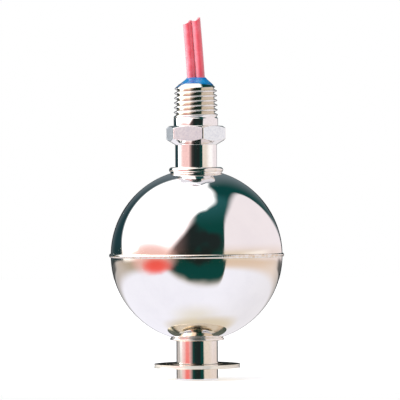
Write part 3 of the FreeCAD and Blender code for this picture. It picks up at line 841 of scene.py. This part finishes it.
turned_steel, shader, place = new_material("turned_collar", metallic=1.0)
rings = noise(place, 12000, 2.0, stretch=(0.01, 0.01, 1))
cloud = noise(place, 600, 3.0, 0.6)
feed(shader, "Base Color", cloud.step(0.4, 0.7).mix(srgb(243, 240, 235), srgb(236, 226, 212)))
feed(shader, "Roughness", cloud * 0.08 + 0.07)
feed(shader, "Normal", bump(rings + cloud, 0.14, 0.03))


def collar(name, up, face, lip):
    """A turned collar whose outer edge is rounded by lip, from its neck to its face."""
    middle = (COLLAR_R - lip, face - lip)
    first = asin((NECK_R - middle[0]) / lip) - pi / 2
    arms = [first + (pi / 2 - first) * k / 14 for k in range(15)]
    nose = [(middle[0] + lip * cos(a), middle[1] + lip * sin(a), 0) for a in arms]
    corners = [
        (GUIDE_BORE_R, face - GUIDE_STOP, 0),
        (GUIDE_R, face - GUIDE_STOP, 0),
        (GUIDE_R, SPIGOT_END, 0),
        (SPIGOT_R, SPIGOT_END, 0),
        (SPIGOT_R, sqrt(FLOAT_R**2 - SPIGOT_R**2), 0),
        (NECK_R, sqrt(FLOAT_R**2 - NECK_R**2), 0),
        *nose,
        (GUIDE_BORE_R + MOUTH_CHAMFER, face, 0.08),
        (GUIDE_BORE_R, face - MOUTH_CHAMFER, 0.08),
        (GUIDE_BORE_R, face - GUIDE_STOP, 0),
    ]
    corners = [(r, FLOAT_AT + up * z, rounding) for r, z, rounding in corners]
    bm = bmesh.new()
    turned(bm, turns(144), lambda t: corners, 6)
    finish_piece(name, bm, turned_steel, "float", [name])


collar("upper_collar", 1, UPPER_FACE, 0.8)
collar("lower_collar", -1, LOWER_FACE, 0.42)

# ---------------------------------------------------------------- inside the float
# A drawn stainless guide tube, a sintered ferrite ring magnet on it, and two push-on washers of
# spring steel whose teeth hold the magnet at mid-height.


def dress(material, *names):
    """CAD nodes whose shape is right get their finish."""
    for name in names:
        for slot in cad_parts[name].material_slots:
            slot.material = material


tube_metal, shader, place = new_material("drawn_tube", metallic=1.0)
drawn = noise(place, 3000, 3.0, stretch=(1, 1, 0.05))
weather(shader, drawn, (222, 220, 216), (204, 201, 197), rough=(0.16, 0.16), relief=(0.2, 0.04))
dress(tube_metal, "float_guide_tube")

ferrite, shader, place = new_material("ferrite")
grit = noise(place, 2400, 5.0, 0.7)
weather(
    shader, grit, (44, 43, 45), (74, 72, 74),
    rough=(0.3, 0.45),
    relief=(0.4, 0.08),
    span=(0.35, 0.7),
)
dress(ferrite, "float_magnet")

spring_steel, shader, place = new_material("spring_steel", metallic=1.0)
rolled = noise(place, 1600, 3.0, 0.6, stretch=(1, 0.1, 1))
weather(shader, rolled, (170, 166, 160), (146, 140, 134), rough=(0.2, 0.22), relief=(0.2, 0.04))
dress(spring_steel, "upper_magnet_washer", "lower_magnet_washer")

# ---------------------------------------------------------------- inside the stem
# A glass reed switch in a natural plastic sleeve, joined to the leads by tinned crimp barrels and
# a tinned return wire, all held in a soft silicone fill.
fill, shader, place = new_material("silicone_fill", subsurface_weight=0.1)
cloud = noise(place, 500, 4.0, 0.6)
weather(
    shader, cloud, (226, 225, 220), (212, 210, 204),
    rough=(0.2, 0.4),
    relief=(0.3, 0.08),
    span=(0.35, 0.7),
)
dress(fill, "potting_fill")

tinned, shader, place = new_material("tinned_metal", metallic=1.0)
dull = noise(place, 1400, 4.0, 0.6)
weather(shader, dull, (216, 214, 208), (186, 184, 178), rough=(0.25, 0.2), relief=(0.25, 0.05))
dress(tinned, "upper_splice", "return_splice", "lower_splice", "return_wire")

reed_metal, shader, place = new_material("plated_reed", metallic=1.0)
plating = noise(place, 2000, 3.0, 0.6, stretch=(1, 1, 0.2))
weather(shader, plating, (214, 208, 192), (190, 182, 164), rough=(0.2, 0.18), relief=(0.2, 0.04))
dress(reed_metal, "upper_reed", "lower_reed")

sleeve_plastic, shader, place = new_material("sleeve_plastic")
drawn = noise(place, 1800, 3.0, stretch=(1, 1, 0.08))
weather(shader, drawn, (238, 237, 230), (226, 224, 214), rough=(0.2, 0.4), relief=(0.25, 0.05))
dress(sleeve_plastic, "reed_sleeve")

reed_glass, shader, place = new_material("green_glass", transmission_weight=0.9, ior=1.5)
streaks = noise(place, 900, 2.0, stretch=(1, 1, 0.1))
weather(shader, streaks, (188, 222, 190), (168, 208, 172), rough=(0.04, 0.02), relief=(0.1, 0.03))
dress(reed_glass, "reed_glass")

# ---------------------------------------------------------------- studio
# A pale floor under the stem's end, a white surround and soft lamps. Polished metal sees none of
# them, but a painted globe: bright screens, a dark gap in front, tan walls and a pale table.
FLOOR_AT = (STEM_END - 0.05) * mm
FLOOR_HALF = 0.6
FLOOR_FRONT = 0.068
LIT_AT = Vector((0, 0, -0.03))
GLOBE_R = 0.9
GLOBE_AT = (0, 0, -0.038)

floor_paint, shader, place = new_material(
    "pale_floor", roughness=0.9, specular_ior_level=0.0, emission_strength=1.0
)
rays = place.add("ShaderNodeLightPath", out="Is Camera Ray")
seen = rays.math("MAXIMUM", rays.out("Is Transmission Ray"))
paper = noise(place, 60, 3.0)
# For camera and transmission rays the floor also glows: less near the switch, so that its shadow shows
# there, and more far off, where the lamps light it less.
away = place.add("ShaderNodeVectorMath", {0: place}, "Value", operation="LENGTH")
lit = away.step(0.06, 0.3).mix((0.42, 0.42, 0.42), (0.7, 0.7, 0.7))
feed(shader, "Base Color", paper.step(0.3, 0.7).mix(srgb(244, 244, 246), srgb(247, 247, 248)))
feed(shader, "Emission Color", seen.mix((0, 0, 0), lit))


def set_up(name, bm, material):
    """A piece of the studio, which isn't part of the switch."""
    mesh = bpy.data.meshes.new(name)
    bm.to_mesh(mesh)
    bm.free()
    mesh.materials.append(material)
    piece = bpy.data.objects.new(name, mesh)
    bpy.context.collection.objects.link(piece)
    return piece


bm = bmesh.new()
bmesh.ops.create_grid(bm, x_segments=8, y_segments=8, size=FLOOR_HALF)
bmesh.ops.translate(bm, verts=bm.verts, vec=(0, FLOOR_HALF - FLOOR_FRONT, FLOOR_AT))
floor = set_up("floor", bm, floor_paint)
floor.visible_glossy = False

world = bpy.data.worlds.new("surround")
world.use_nodes = True
bpy.context.scene.world = world
rays = Wire(world.node_tree).add("ShaderNodeLightPath", out="Is Camera Ray")
seen = rays.out("Is Glossy Ray").math("MAXIMUM", rays.out("Is Transmission Ray"))
seen = rays.math("MAXIMUM", seen)
feed(world.node_tree.nodes["Background"], "Color", seen.mix((0.48, 0.48, 0.49), (1, 1, 1)))


def lamp(name, place, size, power):
    """A soft rectangular lamp that faces the switch and that polished metal doesn't see."""
    data = bpy.data.lights.new(name, "AREA")
    data.shape = "RECTANGLE"
    data.size, data.size_y = size
    data.energy = power
    light = bpy.data.objects.new(name, data)
    light.location = place
    light.rotation_mode = "QUATERNION"
    light.rotation_quaternion = (LIT_AT - Vector(place)).to_track_quat("-Z", "Y")
    light.visible_glossy = False
    bpy.context.collection.objects.link(light)


lamp("left_lamp", (-0.75, -0.55, 0.4), (0.7, 0.7), 8.5)
lamp("right_lamp", (0.9, -0.2, 0.3), (0.7, 0.7), 1.2)
lamp("front_lamp", (0.1, -1.0, 0.55), (0.7, 0.5), 1.0)
lamp("top_lamp", (0.0, 0.2, 1.0), (0.8, 0.8), 1.6)

screens, shader, place = new_material("screens")
toward = place.add("ShaderNodeVectorMath", {0: place, 1: GLOBE_AT}, operation="SUBTRACT")
toward = place.add("ShaderNodeVectorMath", {0: toward}, operation="NORMALIZE")
x, y, z = toward.parts()
# Degrees round the switch, from the viewer's side to the right, and degrees above the horizon.
turn = x.math("ARCTAN2", y * -1.0) * degrees(1)
rise = z.math("ARCSINE") * degrees(1)
aside = abs(turn)


def edge(points, low, high):
    """The height of an outline at each turn, from points (turn, height)."""
    node = turn.add("ShaderNodeFloatCurve", {"Value": turn / 360 + 0.5})
    mapping = node.socket.node.mapping
    curve = mapping.curves[0].points
    places = [(t / 360 + 0.5, (h - low) / (high - low)) for t, h in points]
    curve[0].location, curve[1].location = places[0], places[-1]
    for place in places[1:-1]:
        curve.new(*place)
    for point in curve:
        point.handle_type = "AUTO_CLAMPED"
    mapping.update()
    return node * (high - low) + low


def within(value, middle, core, rim):
    """1 up to core from the middle, 0 beyond rim."""
    return 1 - abs(value - middle).step(core, rim)


def oval(turn_at, rise_at, half_wide, half_high):
    """0 at the middle of an oval, 1 at its rim and more beyond it."""
    return ((turn - turn_at) / half_wide) ** 2 + ((rise - rise_at) / half_high) ** 2


# Outlines of what stands round the switch: a dark gap lies between the roof's edge and the table's
# edge, which are ragged in front, and a cream panel stands to the right of it.
roof = edge(
    [(-180, 56), (-165, 50), (-150, 38), (-135, 24), (-120, 8), (-110, -6), (-80, -14), (-50, -4),
     (-36, 12), (-20, 33), (0, 55), (15, 62.5), (30, 66.5), (60, 70), (100, 75), (145, 74),
     (165, 62), (180, 56)],
    -20,
    80,
)
panel = edge(
    [(-180, -20), (30, -20), (36, 2), (39, 20), (43, 33), (49, 42), (60, 49.5), (78, 55), (98, 57),
     (116, 55), (129, 50), (135, 42), (140, 27), (148, 13), (165, -1), (180, -12)],
    -20,
    80,
)
table = edge(
    [(-180, 10), (-62, 8), (-48, -4), (-38, -15), (-22, -26), (-5, -32), (12, -33.5), (29, -32),
     (36, -28), (39, -10), (42, 8), (180, 10)],
    -50,
    30,
)
ragged = (noise(toward, 3.2, 1.0, 0.4) - 0.5) * within(turn, -5, 25, 60)
far = aside.step(90, 130)

# The gap: dark green, paler high up, nearly black in its middle, brown at its left edge, and
# blue-green to grey beside and behind the switch.
core = (oval(1, 15, 40, 29) + ragged * 2).step(1.05, 0.3)
dark = rise.step(35, 72).mix(srgb(15, 68, 62), srgb(40, 92, 94))
dark = (core * 0.9).mix(dark, srgb(34, 37, 37))
dark = ((1 - turn.step(-36, -6)) * within(rise, 17, 9, 20)).mix(dark, srgb(122, 98, 96))
dark = ((1 - turn.step(-44, -24)) * within(rise, -13, 4, 10)).mix(dark, srgb(118, 80, 80))
side = turn.step(0, 1).mix(srgb(32, 60, 66), srgb(14, 66, 64))
dark = aside.step(80, 120).mix(dark, side)
dark = aside.step(138, 186).mix(dark, srgb(126, 136, 142))

# The lower half: the white table with a tan patch below and behind the switch, tan walls near the
# horizon, and a tan shade along the gap's lower edge.
down_behind = toward.add(
    "ShaderNodeVectorMath", {0: toward, 1: (0.05, 0.41, -0.91)}, "Value", operation="DOT_PRODUCT"
)
wall = turn.step(-50, 40).mix(srgb(188, 172, 152), srgb(236, 214, 196))
wall = aside.step(120, 175).mix(wall, srgb(150, 150, 148))
low = rise.step(-60, -86).mix((0.985, 0.97, 1.05), srgb(240, 233, 222))
low = (turn.step(20, 150) * 0.7).mix(low, srgb(238, 234, 236))
low = (down_behind.step(0.875, 0.97) * 0.9).mix(low, srgb(224, 208, 180))
low = (within(rise, -8.5, 1.5, 11) * (1 - far * 0.2)).mix(low, wall)
low = ((rise - table).step(-12, 1) * within(turn, 0, 42, 62) * 0.85).mix(low, srgb(184, 172, 156))
low = (rise - table + ragged * 9).step(-7.0, 5.0).mix(low, dark)

# The upper half: the white roof, pinkish at its edge, the cream panel, and two white screens at
# the left.
haze = oval(-62, -2, 40, 22).step(1.1, 0.1)
cream = ((1 - rise.step(0, 9)) * (1 - turn.step(60, 110))).mix(srgb(250, 240, 243), srgb(238, 226, 208))
left_screen = within(turn, -72, 26, 40) * rise.step(4, 16) * (1 - rise.step(60, 80)) * (1 - haze)
left_strip = within(turn, -100, 10, 19) * rise.step(3.5, 5) * (1 - rise.step(40, 60)) * (1 - haze)
high = (rise - roof + ragged * 20).step(-6.0, 3.0).mix(dark, (1.6, 1.6, 1.6))
high = ((rise - roof).step(-14, 3) * within(turn, -30, 10, 34)).mix(high, (1.5, 1.3, 1.3))
high = (panel - rise).step(-4, 4).mix(high, cream)
high = left_screen.mix(high, (2.4, 2.4, 2.4))
high = left_strip.mix(high, (7.0, 7.0, 7.0))

# On the horizon: a pale strip at the right, a pink haze round something red at the left, and dark
# stretches at the sides and behind.
above = rise.step(-6.5, -3) * (1 - far) + rise.step(-4.3, -3.2) * far
right_strip = within(turn, 87, 5, 34) * within(rise, 1, 1.6, 3.6)
patchy = noise(toward, 9, 3.0, 0.6) * 0.7 + 0.65
red = (oval(-56, -11.5, 25, 11) * patchy).step(1.2, 0.0)
colour = above.mix(low, high)
colour = (right_strip * 0.6).mix(colour, (1.3, 1.3, 1.3))
colour = (haze * 0.9).mix(colour, srgb(255, 202, 198))
colour = (red * 0.9).mix(colour, srgb(255, 78, 64))
colour = (aside.step(134, 148) * within(rise, -5, 1.6, 3.4) * 0.85).mix(colour, srgb(58, 62, 62))
colour = (aside.step(158, 166) * within(rise, 2, 7, 11)).mix(colour, srgb(22, 28, 30))

screens.node_tree.nodes.remove(shader)
glow = colour.add("ShaderNodeEmission", {"Color": colour})
feed(screens.node_tree.nodes["Material Output"], "Surface", glow)
screens.cycles.emission_sampling = "NONE"

bm = bmesh.new()
bmesh.ops.create_uvsphere(bm, u_segments=64, v_segments=32, radius=GLOBE_R)
bmesh.ops.translate(bm, verts=bm.verts, vec=GLOBE_AT)
globe = set_up("screens", bm, screens)
globe.visible_camera = False
globe.visible_diffuse = False
globe.visible_transmission = False
globe.visible_volume_scatter = False
globe.visible_shadow = False
